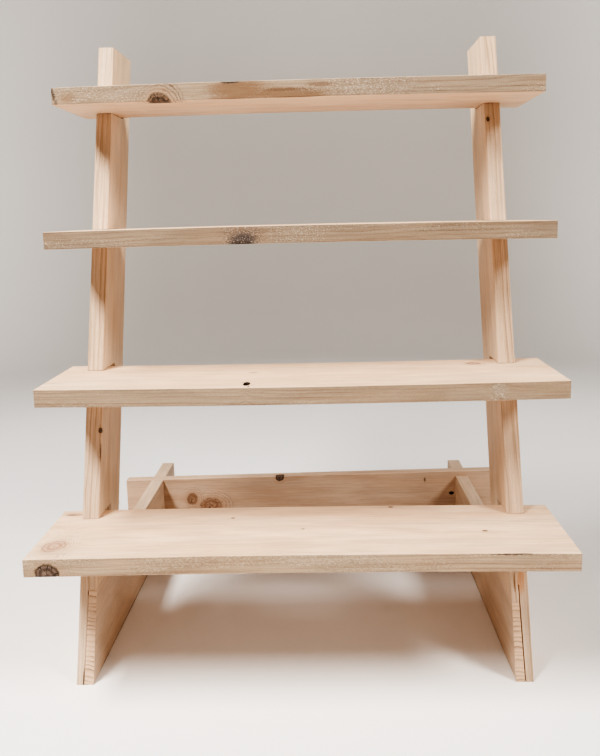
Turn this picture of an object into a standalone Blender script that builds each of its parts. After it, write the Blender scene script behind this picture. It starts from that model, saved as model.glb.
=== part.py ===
"""Four-tier knock-down display rack in bare softwood boards.

Two uprights lean back. Each is half-lapped at its foot over a base rail that
stands on edge on the floor, and two brads pin each lap. A cross rail drops
into notches in the base rails behind the uprights. Four plain shelves are
pushed into open slots sawn in the front edges of the uprights.

Frame: metres, +Z up, +Y towards the back, +X to the right seen from the front.
The origin is on the floor, under the middle of the whole rack.
"""

import math

import bmesh
import bpy
from mathutils import Matrix, Vector

# --- Driving dimensions ------------------------------------------------------
BOARD = 0.018  # thickness of every board
GAP = 0.0003  # clearance between pieces that touch
ARRIS = 0.0006  # how far the long edges are eased

LEAN = math.radians(21.3)  # uprights, back from vertical
UPRIGHT_WIDTH = 0.089  # square across the board
UPRIGHT_HEIGHT = 0.677
UPRIGHT_OUTER_X = 0.2357  # outer face, either side of the middle

SHELF_LENGTH = 0.528
SHELF_DEPTH = 0.140
# From the bottom shelf to the top one.
SHELF_NAMES = ("shelf_bottom", "shelf_lower_middle", "shelf_upper_middle", "shelf_top")
SHELF_TOP_Z = (0.1585, 0.310, 0.4635, 0.6155)
SHELF_OVERHANG = (0.111, 0.108, 0.101, 0.096)  # in front of the upright's edge
SHELF_SHIFT_X = (0.001, 0.003, 0.003, 0.003)  # to the right of the middle
SLOT_DEPTH = 0.053  # behind the upright's edge, level with the shelf's top

RAIL_LENGTH = {"left": 0.517, "right": 0.509}
RAIL_HEIGHT = 0.090
# How high each rail's tongue stands in its lap; the right one was cut low.
TONGUE_HEIGHT = {"left": 0.0897, "right": 0.0735}
LAP_SHARE_AT_FLOOR = 0.43  # the upright's share of the lap's thickness
LAP_SHARE_AT_TOP = 0.53
# The lap on the right stands open by the width of a saw cut.
LAP_GAP = {"left": GAP, "right": 0.0011}

CROSS_LENGTH = 0.546
CROSS_HEIGHT = 0.089
CROSS_BEHIND_FOOT = 0.424  # its front face, behind the uprights' front corners
CROSS_CLEAR = 0.001  # under its left end
CROSS_RISE = 0.0078  # its right end stands this much higher than its left
LAP_FLOOR_Z = 0.045  # where the cross rail sits in the base rails

BRAD_SHANK_R = 0.0006
BRAD_HEAD_R = 0.0011
BRAD_HEAD_T = 0.0007
BRAD_LENGTH = 0.015
BRAD_HEIGHTS = {"lower": 0.028, "upper": {"left": 0.081, "right": 0.065}}
BRAD_BEHIND_EDGE = 0.018
BRAD_SIDES = 12

# --- Worked out from them ----------------------------------------------------
SLOPE = math.tan(LEAN)
UPRIGHT_RUN = UPRIGHT_WIDTH / math.cos(LEAN)  # level width of an upright
FOOT_Y = (SHELF_OVERHANG[0] - SHELF_TOP_Z[0] * SLOPE - max(RAIL_LENGTH.values())) / 2
CROSS_Y = FOOT_Y + CROSS_BEHIND_FOOT
OVERCUT = 0.02  # how far a cutter runs past the wood
SIDES = {"left": -1, "right": 1}

BARE_PINE = (0.80, 0.60, 0.41)
SAWN_PINE = (0.72, 0.53, 0.36)
BRIGHT_STEEL = (0.42, 0.40, 0.38)


def edge_y(z):
    """Y of the uprights' front edge at height z."""
    return FOOT_Y + z * SLOPE


def clear_scene():
    for old in list(bpy.data.objects):
        bpy.data.objects.remove(old, do_unlink=True)


def new_collection(name):
    collection = bpy.data.collections.new(name)
    bpy.context.scene.collection.children.link(collection)
    return collection


def new_material(name, colour, roughness, metallic=0.0):
    material = bpy.data.materials.new(name)
    material.use_nodes = True
    shader = material.node_tree.nodes["Principled BSDF"]
    shader.inputs["Base Color"].default_value = (*colour, 1.0)
    shader.inputs["Roughness"].default_value = roughness
    shader.inputs["Metallic"].default_value = metallic
    material.diffuse_color = (*colour, 1.0)
    return material


def move_to(obj, collection):
    for holder in list(obj.users_collection):
        holder.objects.unlink(obj)
    collection.objects.link(obj)


def block(name, low, high, collection):
    """A box between two corners, its origin at its own middle."""
    low, high = Vector(low), Vector(high)
    bpy.ops.mesh.primitive_cube_add(size=1.0, location=(low + high) / 2)
    obj = bpy.context.object
    obj.name = name
    obj.data.name = name
    obj.data.transform(Matrix.Diagonal((*(high - low), 1.0)))
    move_to(obj, collection)
    return obj


def leaning_block(name, x_floor, y, z, collection, x_step=(0.0, 0.0)):
    """A block whose front and back follow the uprights' lean.

    x_floor and y are its extents at floor level, z its extents in height, and
    x_step is how far each x face moves sideways for one metre of height.
    """
    obj = block(name, (x_floor[0], y[0], z[0]), (x_floor[1], y[1], z[1]), collection)
    for vertex in obj.data.vertices:
        height = vertex.co.z + obj.location.z
        side = 0 if vertex.co.x < 0 else 1
        vertex.co.x += x_step[side] * height
        vertex.co.y += SLOPE * height
    return obj


def cut(obj, cutter):
    modifier = obj.modifiers.new(cutter.name, "BOOLEAN")
    modifier.operation = "DIFFERENCE"
    modifier.solver = "EXACT"
    modifier.object = cutter


def ease_edges(obj):
    modifier = obj.modifiers.new("eased_edges", "BEVEL")
    modifier.width = ARRIS
    modifier.segments = 2
    modifier.limit_method = "ANGLE"
    modifier.angle_limit = math.radians(40)


def as_cutter(obj):
    obj.hide_render = True
    obj.display_type = "WIRE"
    return obj


def lap_face(side, share_shift=0.0):
    """The lap's parting plane: its x at floor level and its sideways step."""
    outer = SIDES[side] * UPRIGHT_OUTER_X
    at_floor = outer - SIDES[side] * (BOARD * LAP_SHARE_AT_FLOOR + share_shift)
    drift = BOARD * (LAP_SHARE_AT_TOP - LAP_SHARE_AT_FLOOR) / RAIL_HEIGHT
    return at_floor, -SIDES[side] * drift


def spread(side, near, far):
    """Order an outer and an inner x value, and their steps, low to high."""
    return (near, far) if SIDES[side] < 0 else (far, near)


def upright(side, parts, cutters, material):
    """A leaning board, level at both ends, with four slots and a lapped foot."""
    outer = SIDES[side] * UPRIGHT_OUTER_X
    inner = outer - SIDES[side] * BOARD
    name = f"upright_{side}"
    obj = leaning_block(
        name,
        spread(side, outer, inner),
        (FOOT_Y, FOOT_Y + UPRIGHT_RUN),
        (0.0, UPRIGHT_HEIGHT),
        parts,
    )
    for shelf, top_z in zip(SHELF_NAMES, SHELF_TOP_Z):
        slot = block(
            f"cut_{name}_{shelf}",
            (min(outer, inner) - OVERCUT, edge_y(top_z - BOARD) - OVERCUT, top_z - BOARD - GAP),
            (max(outer, inner) + OVERCUT, edge_y(top_z) + SLOT_DEPTH, top_z + GAP),
            cutters,
        )
        cut(obj, as_cutter(slot))

    # The inner part of the foot makes room for the rail's tongue.
    parting_x, parting_step = lap_face(side)
    past_inner = inner - SIDES[side] * OVERCUT
    lap = leaning_block(
        f"cut_{name}_lap",
        spread(side, parting_x, past_inner),
        (FOOT_Y - OVERCUT, FOOT_Y + UPRIGHT_RUN + OVERCUT),
        (-OVERCUT, TONGUE_HEIGHT[side] + GAP),
        cutters,
        spread(side, parting_step, 0.0),
    )
    cut(obj, as_cutter(lap))
    if LAP_GAP[side] > GAP:
        # The saw ran on past the shoulder, up to the height of the rail.
        kerf_x, kerf_step = lap_face(side, LAP_GAP[side])
        kerf = leaning_block(
            f"cut_{name}_kerf",
            spread(side, parting_x, kerf_x),
            (FOOT_Y - OVERCUT, FOOT_Y + UPRIGHT_RUN + OVERCUT),
            (TONGUE_HEIGHT[side] - OVERCUT, RAIL_HEIGHT),
            cutters,
            spread(side, parting_step, kerf_step),
        )
        cut(obj, as_cutter(kerf))
    obj.data.materials.append(material)
    return obj


def base_rail(side, parts, cutters, material):
    """A board on edge, its front end cut to the lean and thinned to a tongue."""
    outer = SIDES[side] * UPRIGHT_OUTER_X
    inner = outer - SIDES[side] * BOARD
    name = f"base_rail_{side}"
    low_x, high_x = spread(side, outer, inner)
    rear_y = FOOT_Y + RAIL_LENGTH[side]
    obj = block(name, (low_x, FOOT_Y, 0.0), (high_x, rear_y, RAIL_HEIGHT), parts)
    past_outer = outer + SIDES[side] * OVERCUT
    past_inner = inner - SIDES[side] * OVERCUT
    tall = (-OVERCUT, RAIL_HEIGHT + OVERCUT)
    front = leaning_block(
        f"cut_{name}_front",
        spread(side, past_outer, past_inner),
        (FOOT_Y - RAIL_HEIGHT, FOOT_Y),
        tall,
        cutters,
    )
    cut(obj, as_cutter(front))

    tongue_x, tongue_step = lap_face(side, LAP_GAP[side])
    behind = FOOT_Y + UPRIGHT_RUN + GAP
    outer_half = leaning_block(
        f"cut_{name}_lap",
        spread(side, past_outer, tongue_x),
        (FOOT_Y - OVERCUT, behind),
        tall,
        cutters,
        spread(side, 0.0, tongue_step),
    )
    cut(obj, as_cutter(outer_half))
    tongue_top = leaning_block(
        f"cut_{name}_tongue_top",
        spread(side, past_outer, past_inner),
        (FOOT_Y - OVERCUT, behind),
        (TONGUE_HEIGHT[side], RAIL_HEIGHT + OVERCUT),
        cutters,
    )
    cut(obj, as_cutter(tongue_top))

    notch = block(
        f"cut_{name}_notch",
        (low_x - OVERCUT, CROSS_Y - GAP, LAP_FLOOR_Z),
        (high_x + OVERCUT, CROSS_Y + BOARD + GAP, RAIL_HEIGHT + OVERCUT),
        cutters,
    )
    cut(obj, as_cutter(notch))
    obj.data.materials.append(material)
    return obj


def cross_rail(parts, cutters, material):
    """A board on edge across both base rails, notched from below."""
    half = CROSS_LENGTH / 2
    name = "rear_cross_rail"
    obj = block(
        name,
        (-half, CROSS_Y, CROSS_CLEAR),
        (half, CROSS_Y + BOARD, CROSS_CLEAR + CROSS_HEIGHT),
        parts,
    )
    obj.location.z += CROSS_RISE / 2
    obj.rotation_euler.y = -math.asin(CROSS_RISE / CROSS_LENGTH)
    for side, sign in SIDES.items():
        outer = sign * UPRIGHT_OUTER_X
        low_x, high_x = spread(side, outer, outer - sign * BOARD)
        notch = block(
            f"cut_{name}_{side}",
            (low_x - GAP, CROSS_Y - OVERCUT, -OVERCUT),
            (high_x + GAP, CROSS_Y + BOARD + OVERCUT, LAP_FLOOR_Z + GAP),
            cutters,
        )
        cut(obj, as_cutter(notch))
    obj.data.materials.append(material)
    return obj


def shelf(index, parts, material):
    """A plain board with all of its edges uncut."""
    top_z = SHELF_TOP_Z[index]
    front = edge_y(top_z) - SHELF_OVERHANG[index]
    left = SHELF_SHIFT_X[index] - SHELF_LENGTH / 2
    obj = block(
        SHELF_NAMES[index],
        (left, front, top_z - BOARD),
        (left + SHELF_LENGTH, front + SHELF_DEPTH, top_z),
        parts,
    )
    obj.data.materials.append(material)
    return obj


def round_bar(name, radius, x_from, x_to, y, z, collection):
    """A short cylinder along X."""
    mesh = bpy.data.meshes.new(name)
    obj = bpy.data.objects.new(name, mesh)
    shape = bmesh.new()
    bmesh.ops.create_cone(
        shape,
        cap_ends=True,
        segments=BRAD_SIDES,
        radius1=radius,
        radius2=radius,
        depth=abs(x_to - x_from),
    )
    bmesh.ops.rotate(shape, verts=shape.verts, matrix=Matrix.Rotation(math.pi / 2, 3, "Y"))
    shape.to_mesh(mesh)
    shape.free()
    obj.location = ((x_from + x_to) / 2, y, z)
    collection.objects.link(obj)
    return obj


def brad(side, level, wood, parts, cutters, material):
    """A brad driven outwards from the rail's inner face, its head flush.

    wood is the two boards that it pins, and each gets a hole around it.
    """
    sign = SIDES[side]
    height = BRAD_HEIGHTS[level]
    z = height if level == "lower" else height[side]
    y = edge_y(z) + BRAD_BEHIND_EDGE
    inner = sign * (UPRIGHT_OUTER_X - BOARD)
    head_back = inner + sign * BRAD_HEAD_T
    tip = inner + sign * BRAD_LENGTH
    name = f"lap_brad_{side}_{level}"

    head = round_bar(name, BRAD_HEAD_R, inner, head_back, y, z, parts)
    shank = round_bar(f"join_{name}", BRAD_SHANK_R, inner + sign * BRAD_HEAD_T / 2, tip, y, z, cutters)
    join = head.modifiers.new("shank", "BOOLEAN")
    join.operation = "UNION"
    join.solver = "EXACT"
    join.object = as_cutter(shank)
    head.data.materials.append(material)

    past_face = inner - sign * OVERCUT
    sinking = round_bar(
        f"cut_{name}_head", BRAD_HEAD_R + GAP, past_face, head_back + sign * GAP, y, z, cutters
    )
    bore = round_bar(
        f"cut_{name}_shank", BRAD_SHANK_R + GAP, inner, tip + sign * GAP, y, z, cutters
    )
    for board in wood:
        cut(board, as_cutter(sinking))
        cut(board, as_cutter(bore))
    return head


def build():
    clear_scene()
    parts = new_collection("tiered_display_rack")
    cutters = new_collection("cutters")
    planed = new_material("bare_pine", BARE_PINE, 0.62)
    sawn = new_material("sawn_pine", SAWN_PINE, 0.70)
    steel = new_material("bright_steel", BRIGHT_STEEL, 0.38, 1.0)

    boards = []
    for side in SIDES:
        post = upright(side, parts, cutters, planed)
        rail = base_rail(side, parts, cutters, sawn)
        boards += [post, rail]
        for level in BRAD_HEIGHTS:
            brad(side, level, (post, rail), parts, cutters, steel)
    boards.append(cross_rail(parts, cutters, sawn))
    for index in range(len(SHELF_NAMES)):
        boards.append(shelf(index, parts, planed))
    for board in boards:
        ease_edges(board)


build()
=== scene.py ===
"""A four-tier display rack of bare softwood boards, dressed round its CAD frame.

Every board is rebuilt as a fine closed mesh with the same cuts, with eased and
slightly worn edges, planer ripple, sunken knots and chips. Its wood figure is
worked out from the board's own axes, so that rings, fibres and knots run
through all its faces.
"""

import itertools
import math
from collections import namedtuple

import bpy
import numpy as np
from mathutils import Matrix, Vector


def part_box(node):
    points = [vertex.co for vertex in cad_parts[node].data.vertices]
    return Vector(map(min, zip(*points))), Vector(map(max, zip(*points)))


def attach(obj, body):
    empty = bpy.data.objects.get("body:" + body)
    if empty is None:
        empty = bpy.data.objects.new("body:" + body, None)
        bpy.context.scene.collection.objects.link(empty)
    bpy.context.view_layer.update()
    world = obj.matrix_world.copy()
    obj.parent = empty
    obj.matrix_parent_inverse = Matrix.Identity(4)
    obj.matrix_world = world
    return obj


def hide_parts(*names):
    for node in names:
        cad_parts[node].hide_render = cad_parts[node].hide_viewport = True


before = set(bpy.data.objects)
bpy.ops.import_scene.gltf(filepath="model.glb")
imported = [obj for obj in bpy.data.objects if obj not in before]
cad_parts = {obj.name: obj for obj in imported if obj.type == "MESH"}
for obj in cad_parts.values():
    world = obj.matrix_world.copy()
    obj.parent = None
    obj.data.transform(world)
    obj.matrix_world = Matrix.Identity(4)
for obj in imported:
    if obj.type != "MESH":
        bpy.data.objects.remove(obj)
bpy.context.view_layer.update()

MM = 0.001

# --- The rack's joints, as in its CAD source, in metres -----------------------
BOARD = 0.018  # thickness of every board
BOARD_WIDTH = 0.089  # of the uprights and the cross rail
GAP = 0.0003
LEAN = math.radians(21.3)
SLOPE = math.tan(LEAN)
UPRIGHT_RUN = BOARD_WIDTH / math.cos(LEAN)  # an upright's width, measured level
SLOT_DEPTH = 0.053
TONGUE_HEIGHT = {"left": 0.0897, "right": 0.0735}
LAP_SHARE_AT_FLOOR = 0.43  # the upright's share of the lap's thickness
LAP_SHARE_AT_TOP = 0.53
LAP_GAP = {"left": GAP, "right": 0.0011}  # the right lap stands open
RAIL_HEIGHT = 0.090
LAP_FLOOR_Z = 0.045  # where the cross rail sits in the base rails
FAR = 1.0  # a cut that runs out of a board reaches this far past it
SIDES = {"left": -1, "right": 1}
SHELF_BODIES = {
    "shelf_bottom": "bottom_shelf",
    "shelf_lower_middle": "lower_middle_shelf",
    "shelf_upper_middle": "upper_middle_shelf",
    "shelf_top": "top_shelf",
}

# --- Mesh fineness and wear ---------------------------------------------------
MESH_STEPS = (0.0020, 0.0018, 0.0015)  # along, across and through a board
KNOT_STEP = 0.0010  # where a knot comes out
HOLE_STEP = 0.0005  # where a knot has fallen out
CLOSEST_LINES = 0.00012  # mesh lines nearer each other than this become one
ON_FACE = 1e-7
ARRIS = 0.0011  # rounding of the long edges
END_ARRIS = 0.0004  # rounding of the sawn ends
CORNER_SHARE = 0.293  # of the radius: how far a rounded corner falls in
SHARP_ANGLE = math.radians(35)

# Places and sizes are in millimetres along the board's own axes: along its
# length, across its width and through its thickness. A knot's axis is the way
# the branch ran, its reach how far it goes from there, and stretch makes it
# longer along the board. A shelf's front edge is at 0 across its width.
Knot = namedtuple("Knot", "at axis radius stretch kind reach", defaults=(60.0,))
Stain = namedtuple("Stain", "at size colour strength")


# --- Smooth noise for whole arrays --------------------------------------------
def hashed(x, y, z, seed):
    """A repeatable value between -1 and 1 for each whole-number position."""
    mixed = x * 374761393 + y * 668265263 + z * 1440662683 + seed * 974634777
    mixed = (mixed ^ (mixed >> 13)) * 1274126177
    mixed = (mixed ^ (mixed >> 16)) & 0xFFFFFF
    return mixed.astype(float) / 0x7FFFFF - 1.0


def ripple(x, y, z, seed):
    """Smooth noise between -1 and 1; one unit of position is one cell."""
    cells = [np.floor(v).astype(np.int64) for v in (x, y, z)]
    parts = [v - cell for v, cell in zip((x, y, z), cells)]
    parts = [p * p * (3.0 - 2.0 * p) for p in parts]
    total = 0.0
    for corner in itertools.product((0, 1), repeat=3):
        weight = 1.0
        for part, bit in zip(parts, corner):
            weight = weight * (part if bit else 1.0 - part)
        total = total + weight * hashed(*(c + bit for c, bit in zip(cells, corner)), seed)
    return total


def smooth_step(low, high, value):
    t = np.clip((value - low) / (high - low), 0.0, 1.0)
    return t * t * (3.0 - 2.0 * t)


# --- Boards as closed grids ---------------------------------------------------
def grid_lines(length, step, arris, stops=(), fine=()):
    """Positions of the mesh lines along one side of a board."""
    keys = {0.0, 0.6 * arris, arris, length - arris, length - 0.6 * arris, length}
    keys |= {stop for stop in stops if arris < stop < length - arris}
    for low, high, _ in fine:
        keys |= {stop for stop in (low, high) if arris < stop < length - arris}
    ordered = sorted(keys)
    kept = [ordered[0]]
    for key in ordered[1:]:
        if key - kept[-1] > CLOSEST_LINES:
            kept.append(key)
    lines = [kept[0]]
    for low, high in zip(kept, kept[1:]):
        middle = (low + high) / 2
        spacing = min([step] + [s for a, b, s in fine if a <= middle <= b])
        count = max(1, round((high - low) / spacing))
        lines += [low + (high - low) * n / count for n in range(1, count + 1)]
    return np.array(lines)


def grid_shell(lines, cuts):
    """The outer faces of a box grid with some boxes taken out.

    Returns the corner positions, the quads, and the axis each quad faces.
    """
    middles = [(line[1:] + line[:-1]) / 2 for line in lines]
    filled = np.ones([len(m) for m in middles], bool)
    for low, high in cuts:
        inside = [(m > lo) & (m < hi) for m, lo, hi in zip(middles, low, high)]
        filled[np.ix_(*inside)] = False

    shape = [len(line) for line in lines]
    quads, facing = [], []
    for axis in range(3):
        padding = [(1, 1) if n == axis else (0, 0) for n in range(3)]
        padded = np.moveaxis(np.pad(filled, padding), axis, 0)
        before, after = padded[:-1], padded[1:]
        u, v = [n for n in range(3) if n != axis]
        for found, flip in ((before & ~after, axis == 1), (after & ~before, axis != 1)):
            i, j, k = np.nonzero(found)
            corners = []
            for du, dv in ((0, 0), (1, 0), (1, 1), (0, 1)):
                index = [None] * 3
                index[axis], index[u], index[v] = i, j + du, k + dv
                corners.append(np.ravel_multi_index(index, shape))
            order = corners[::-1] if flip else corners
            quads.append(np.stack(order, 1))
            facing.append(np.full(len(i), axis))
    quads = np.concatenate(quads)
    used, flat = np.unique(quads, return_inverse=True)
    place = np.unravel_index(used, shape)
    points = np.stack([line[n] for line, n in zip(lines, place)], 1)
    return points, flat.reshape(quads.shape), np.concatenate(facing)


def round_inset(distance, radius):
    """How far a rounded edge falls away at a distance from the edge."""
    t = 1.0 - np.clip(distance / radius, 0.0, 1.0)
    inset = radius * (1.0 - np.sqrt(1.0 - t * t))
    return np.where(distance < 0.05 * radius, CORNER_SHARE * radius, inset)


def knot_distance(points, knot):
    """Distance from a knot's middle line, in its own radii."""
    axis = np.array(knot.axis, float)
    axis /= np.linalg.norm(axis)
    offset = points - np.array(knot.at) * MM
    along = offset @ axis
    offset = offset - np.outer(along, axis)
    offset[:, 0] /= knot.stretch
    past = smooth_step(knot.reach, knot.reach * 1.2, np.abs(along) / MM)
    return np.linalg.norm(offset, axis=1) / (knot.radius * MM) + 4.0 * past


# Depth in millimetres of the gap round a knot that has one.
KNOT_GAPS = {"black": 0.45, "bark": 0.45, "red": 0.25, "faint": 0.08}


def knot_relief(points, knot, seed):
    """How deep a knot lies under the face round it, in metres."""
    s = knot_distance(points, knot)
    x, y, z = (points / MM).T
    s = s * (1.0 + 0.12 * ripple(x * 0.5, y * 0.5, z * 0.5, seed))
    if knot.kind == "hole":
        return 2.0 * MM * smooth_step(1.0, 0.72, s)
    if knot.kind == "whorl":
        return np.zeros(len(points))
    if knot.kind == "pin":
        return 0.15 * MM * smooth_step(1.2, 0.6, s)
    gap = np.exp(-(((s - 1.0) / 0.09) ** 2))
    inside = smooth_step(1.05, 0.9, s)
    grain = 0.5 + 0.5 * ripple(x * 0.8, y * 0.8, z * 0.8, seed + 1)
    return MM * (KNOT_GAPS[knot.kind] * gap + 0.14 * inside * grain)


def board_points(points, size, knots, chips, seed, roughness):
    """Moves the shell's corners for rounded edges, ripple, knots and chips."""
    at = points.T
    x, y, z = at / MM
    on_face = [(at[n] < ON_FACE, at[n] > size[n] - ON_FACE) for n in range(3)]
    to_face = [np.minimum(at[n], size[n] - at[n]) for n in range(3)]
    wear = 0.78 + 0.22 * ripple(x * 0.035, y * 0.05, z * 0.05, seed)
    wear = wear * (0.92 + 0.08 * ripple(x * 0.3, y * 0.3, z * 0.3, seed + 1))
    long_edge = ARRIS * np.clip(wear, 0.4, 1.0)

    relief = np.zeros(len(points))
    for n, knot in enumerate(knots):
        relief += knot_relief(points, knot, seed + 10 + n)
    front_edge = (at[1] < 1.3 * ARRIS) & (at[2] > size[2] - 1.3 * ARRIS)
    for middle, reach, depth in chips:
        ragged = 0.7 + 0.3 * ripple(x * 0.6, y * 0.6, z * 0.6, seed + 7)
        near = 1.0 - smooth_step(0.5 * reach, reach, np.abs(x - middle))
        relief += depth * MM * near * ragged * front_edge
    planed = 0.05 * (1.0 + ripple(x * 0.022, y * 0.06, z * 0.06, seed + 2))
    planed += 0.02 * (1.0 + ripple(x * 0.12, y * 0.5, z * 0.5, seed + 3))
    sawn = 0.10 * (1.0 + ripple(x * 0.22, y * 0.5, z * 0.4, seed + 4))
    sawn += 0.07 * (1.0 + ripple(x * 0.5, y * 0.7, z * 0.7, seed + 5))
    end = 0.08 * (1.0 + ripple(x * 0.5, y * 0.45, z * 0.45, seed + 6))
    depth = (end * MM, sawn * MM * roughness, planed * MM)

    moved = at.copy()
    for axis in range(3):
        inset = depth[axis] + relief
        for other in range(3):
            if other == axis:
                continue
            radius = long_edge if 0 not in (axis, other) else END_ARRIS * wear
            inset = inset + round_inset(to_face[other], radius)
        moved[axis] += inset * on_face[axis][0]
        moved[axis] -= inset * on_face[axis][1]
    return moved.T


def fine_stretches(knots, axis, length):
    """Stretches along one axis where the mesh is closer, for knots."""
    stretches = []
    for knot in knots:
        if knot.kind == "pin" or abs(knot.axis[axis]) > 0.7:
            continue
        reach = 1.35 * knot.radius * (knot.stretch if axis == 0 else 1.0) * MM
        spacing = HOLE_STEP if knot.kind == "hole" else KNOT_STEP
        low, high = knot.at[axis] * MM - reach, knot.at[axis] * MM + reach
        stretches.append((max(low, 0.0), min(high, length), spacing))
    return stretches


def add_object(name, data):
    obj = bpy.data.objects.new(name, data)
    bpy.context.scene.collection.objects.link(obj)
    return obj


def make_board(name, size, place, look, cuts=(), roughness=1.0):
    """One board as a single closed mesh.

    place turns metres along, across and through the board into x, y and z, and
    roughness scales how uneven the sawn edges are.
    """
    knots = look["knots"]
    lines = []
    for axis in range(3):
        arris = END_ARRIS if axis == 0 else ARRIS
        stops = [edge[axis] for box in cuts for edge in box]
        fine = fine_stretches(knots, axis, size[axis])
        lines.append(grid_lines(size[axis], MESH_STEPS[axis], arris, stops, fine))
    points, quads, facing = grid_shell(lines, cuts)
    moved = board_points(points, size, knots, look["chips"], look["seed"], roughness)
    placed = np.stack(place(*moved.T), 1)

    first, second, last = (placed[quads[:, n]] for n in (0, 1, 3))
    volume = np.einsum("ij,ij->i", first, np.cross(second - first, last - first)).sum()
    if volume < 0:
        quads = quads[:, ::-1]

    mesh = bpy.data.meshes.new(name)
    mesh.vertices.add(len(placed))
    mesh.vertices.foreach_set("co", placed.ravel())
    mesh.loops.add(quads.size)
    mesh.loops.foreach_set("vertex_index", quads.ravel())
    mesh.polygons.add(len(quads))
    mesh.polygons.foreach_set("loop_start", np.arange(0, quads.size, 4))
    mesh.update(calc_edges=True)
    mesh.validate()
    mesh.polygons.foreach_set("use_smooth", np.ones(len(quads), bool))
    mesh.set_sharp_from_angle(angle=SHARP_ANGLE)
    grain = mesh.attributes.new("grain", "FLOAT_VECTOR", "POINT")
    grain.data.foreach_set("vector", look_axes(points, look).ravel())
    for label, axis in (("sawn_edge", 1), ("end_grain", 0)):
        layer = mesh.attributes.new(label, "FLOAT", "FACE")
        layer.data.foreach_set("value", (facing == axis).astype(float))
    mesh.materials.append(pine(f"{name}_pine", look))
    return add_object(name, mesh)


def look_axes(points, look):
    """Places in millimetres along the grain, across it and through the board.

    An upright's mesh is laid out level and then sheared, so its grain leans.
    """
    shear = look["shear"]
    a, b, c = points.T / MM
    scale = math.cos(math.atan(shear))
    return np.stack((a / scale + b * scale * shear, b * scale, c), 1)


# --- Nodes --------------------------------------------------------------------
class Graph:
    """Short calls for wiring up one material."""

    def __init__(self, name):
        self.material = bpy.data.materials.new(name)
        self.material.use_nodes = True
        self.tree = self.material.node_tree
        self.tree.nodes.clear()

    def node(self, kind, inputs, **settings):
        made = self.tree.nodes.new(kind)
        for key, value in settings.items():
            setattr(made, key, value)
        for key, value in inputs.items():
            if isinstance(value, bpy.types.NodeSocket):
                self.tree.links.new(value, made.inputs[key])
            else:
                made.inputs[key].default_value = value
        return made

    def math(self, operation, *values, clamp=False):
        inputs = dict(enumerate(values))
        made = self.node("ShaderNodeMath", inputs, operation=operation, use_clamp=clamp)
        return made.outputs[0]

    def times(self, first, second):
        return self.math("MULTIPLY", first, second)

    def vector(self, operation, *values):
        made = self.node("ShaderNodeVectorMath", dict(enumerate(values)), operation=operation)
        scalar = operation in ("LENGTH", "DOT_PRODUCT")
        return made.outputs["Value" if scalar else "Vector"]

    def join(self, x, y, z):
        return self.node("ShaderNodeCombineXYZ", {0: x, 1: y, 2: z}).outputs[0]

    def split(self, value):
        return self.node("ShaderNodeSeparateXYZ", {0: value}).outputs

    def step(self, value, low, high, out_low=0.0, out_high=1.0):
        inputs = {0: value, 1: low, 2: high, 3: out_low, 4: out_high}
        made = self.node("ShaderNodeMapRange", inputs, interpolation_type="SMOOTHSTEP")
        return made.outputs[0]

    def noise(self, position, scales, detail=2.0, roughness=0.5):
        scaled = self.vector("MULTIPLY", position, scales)
        inputs = {"Vector": scaled, "Scale": 1.0, "Detail": detail, "Roughness": roughness}
        return self.node("ShaderNodeTexNoise", inputs).outputs["Fac"]

    def mix(self, amount, first, second, blend="MIX"):
        first, second = (as_colour(value) for value in (first, second))
        inputs = {0: amount, 6: first, 7: second}
        made = self.node("ShaderNodeMix", inputs, data_type="RGBA", blend_type=blend)
        made.clamp_factor = True
        return made.outputs[2]

    def shaded(self, colour, shade):
        return self.mix(1.0, colour, shade, "MULTIPLY")

    def curve(self, value, stops):
        """A ramp of grey levels: stops are (position, level)."""
        made = self.node("ShaderNodeValToRGB", {0: value})
        ramp = made.color_ramp
        while len(ramp.elements) < len(stops):
            ramp.elements.new(0.5)
        for element, (position, level) in zip(ramp.elements, stops):
            element.position = position
            element.color = as_colour((level,) * 3)
        return made.outputs[0]

    def surface(self, colour, roughness, bump, others):
        """Ends the graph in one Principled shader and returns the material."""
        inputs = {"Base Color": colour, "Roughness": roughness}
        inputs["Normal"] = bump.outputs["Normal"]
        shader = self.node("ShaderNodeBsdfPrincipled", {**inputs, **others})
        self.node("ShaderNodeOutputMaterial", {"Surface": shader.outputs[0]})
        return self.material


def as_colour(value):
    if isinstance(value, tuple) and len(value) == 3:
        return (*value, 1.0)
    return value


# How dark the wood is through one year's ring, as (position, level).
LATEWOOD = ((0.0, 0.05), (0.35, 0.0), (0.72, 0.35), (0.90, 1.0), (0.97, 0.55), (1.0, 0.05))

# Three colours, then how strongly the rim, the shade round the knot and the
# rings beyond it show. A whorl has no look, as it only parts the fibres.
KnotLook = namedtuple("KnotLook", "heart ring bark rim halo rings")
KNOT_LOOKS = {
    "red": KnotLook((0.36, 0.225, 0.14), (0.25, 0.14, 0.08), (0.10, 0.055, 0.035), 0.4, 0.5, 0.45),
    "faint": KnotLook((0.62, 0.42, 0.29), (0.45, 0.27, 0.17), (0.33, 0.18, 0.11), 0.5, 0.3, 0.3),
    "black": KnotLook((0.22, 0.15, 0.11), (0.12, 0.08, 0.06), (0.04, 0.027, 0.02), 0.7, 0.3, 0.2),
    "bark": KnotLook((0.22, 0.135, 0.08), (0.1, 0.06, 0.035), (0.03, 0.018, 0.012), 0.55, 0.4, 1.0),
    "pin": KnotLook((0.30, 0.19, 0.12), (0.20, 0.12, 0.08), (0.16, 0.09, 0.06), 0.3, 0.25, 0.0),
    # A hole's near-black colour is painted shade, standing for the dark inside a hole that the mesh
    # dents only 2 mm.
    "hole": KnotLook((0.03, 0.02, 0.015), (0.02, 0.012, 0.01), (0.02, 0.012, 0.01), 0.9, 0.15, 0),
}


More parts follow.
